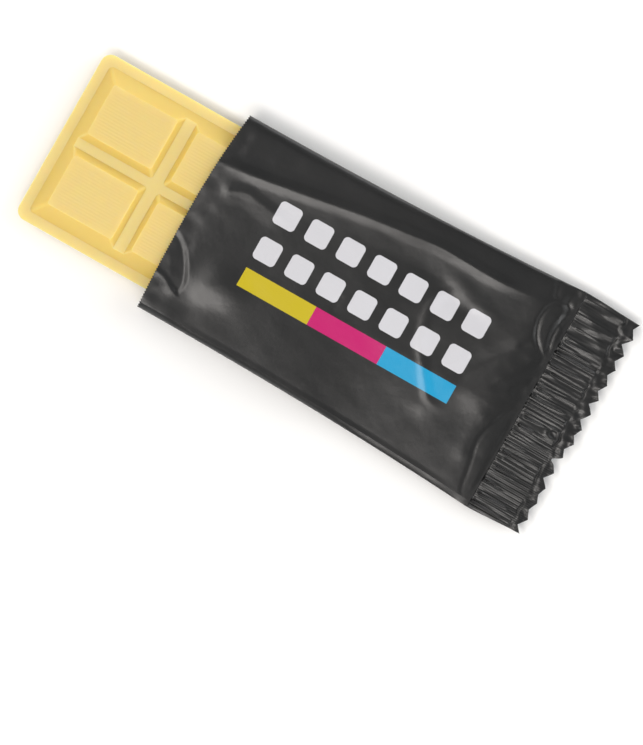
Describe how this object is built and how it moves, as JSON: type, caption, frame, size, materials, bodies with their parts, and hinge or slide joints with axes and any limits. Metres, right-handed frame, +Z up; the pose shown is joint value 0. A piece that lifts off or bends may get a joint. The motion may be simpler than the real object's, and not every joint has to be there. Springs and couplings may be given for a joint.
{
  "type": "chocolate bar",
  "caption": "White chocolate bar with fluted blocks, half out of its opened dark flow pack with a crimped, tooth-cut end seal.",
  "frame": {"origin": "middle of the bar and pack together, at the height of the surface that they lie on", "axes": "+X from the bar's free end to the pack's end seal, +Y across the bar, +Z up out of the moulded face"},
  "size_m": [0.115, 0.047, 0.0071],
  "materials": {
    "white_chocolate": "satin, slightly waxy",
    "pack_film": "satin printed film"
  },
  "bodies": {
    "root": {"chocolate_bar": "white_chocolate", "wrapper": "pack_film"}
  },
  "joints": []
}
